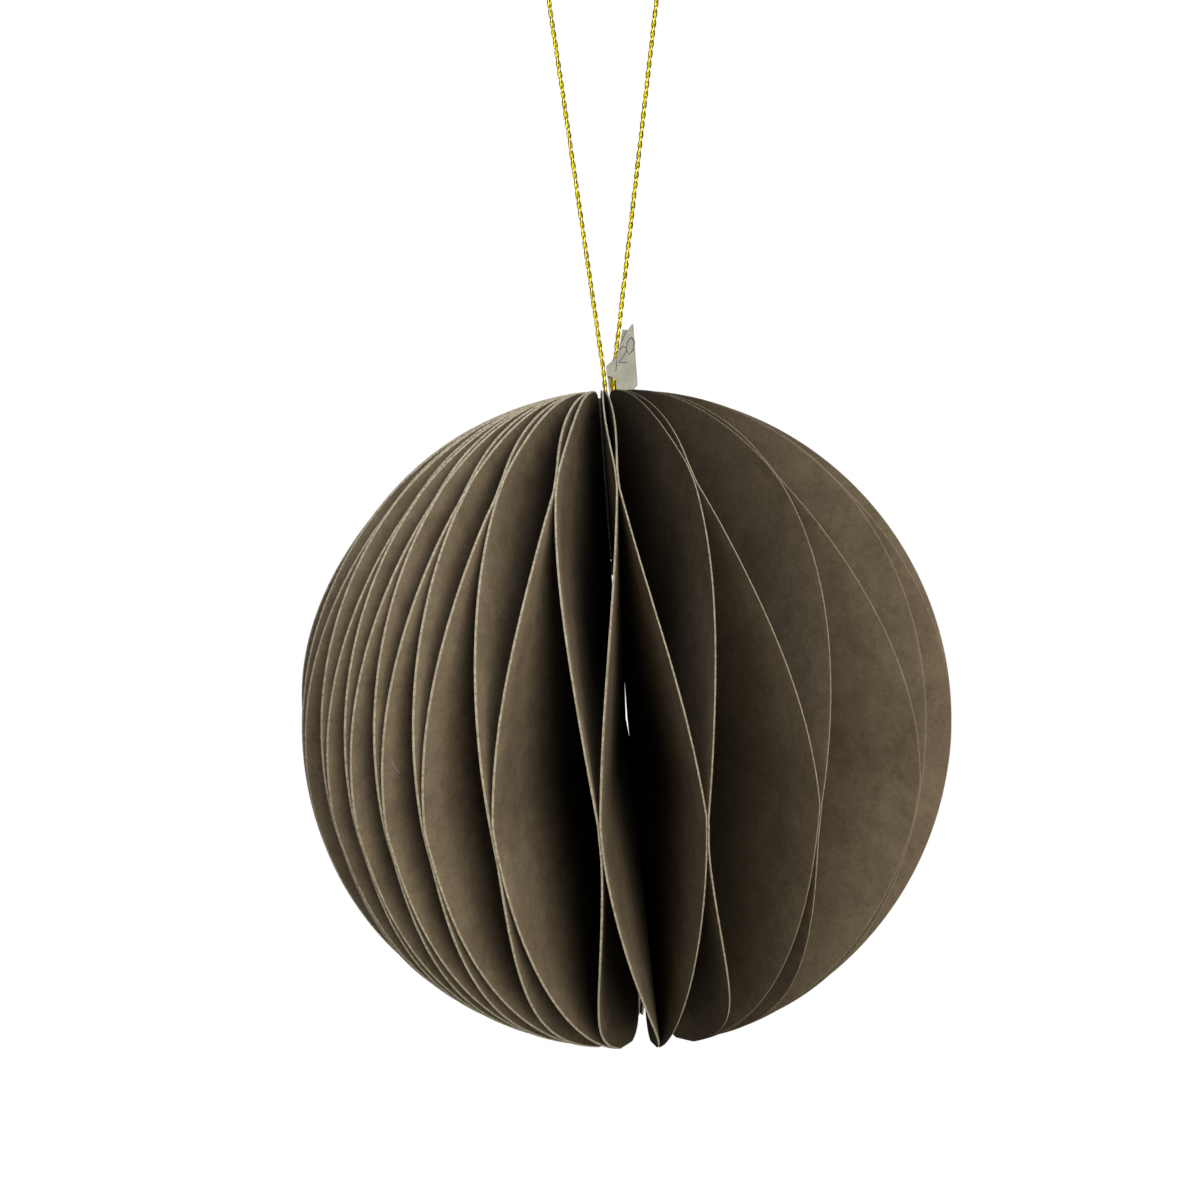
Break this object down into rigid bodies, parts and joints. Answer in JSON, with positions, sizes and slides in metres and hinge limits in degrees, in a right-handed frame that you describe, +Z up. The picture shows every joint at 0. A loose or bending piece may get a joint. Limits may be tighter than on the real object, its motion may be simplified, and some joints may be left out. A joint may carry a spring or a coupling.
{
  "type": "folded paper ball ornament",
  "caption": "Hanging paper ball made of half-round card leaves glued in turn round a hollow core, on a gold cord loop with a small paper tag.",
  "frame": {"origin": "middle of the ball, on the axis that the leaves stand round", "axes": "+Z up along the leaves' axis towards the cord, -Y towards the side seen in the picture, +X to its right"},
  "size_m": [0.0999, 0.0999, 0.1715],
  "materials": {
    "card": "matte through-dyed card with pale cut edges",
    "plug": "matte",
    "cord": "metallic gold twisted thread",
    "tag": "uncoated paper"
  },
  "bodies": {
    "root": {"leaf_01": "card", "leaf_02": "card", "leaf_03": "card", "leaf_04": "card", "leaf_05": "card", "leaf_06": "card", "leaf_07": "card", "leaf_08": "card", "leaf_09": "card", "leaf_10": "card", "leaf_11": "card", "leaf_12": "card", "leaf_13": "card", "leaf_14": "card", "leaf_15": "card", "leaf_16": "card", "leaf_17": "card", "leaf_18": "card", "leaf_19": "card", "leaf_20": "card", "leaf_21": "card", "leaf_22": "card", "leaf_23": "card", "leaf_24": "card", "leaf_25": "card", "leaf_26": "card", "leaf_27": "card", "leaf_28": "card", "leaf_29": "card", "leaf_30": "card", "leaf_31": "card", "leaf_32": "card", "leaf_33": "card", "leaf_34": "card", "leaf_35": "card", "leaf_36": "card", "leaf_37": "card", "leaf_38": "card", "leaf_39": "card", "leaf_40": "card", "leaf_41": "card", "leaf_42": "card", "leaf_43": "card", "leaf_44": "card", "leaf_45": "card", "leaf_46": "card", "leaf_47": "card", "leaf_48": "card", "core_plug": "plug", "cord_loop": "cord", "cord_knot": "cord", "price_tag": "tag"}
  },
  "joints": []
}
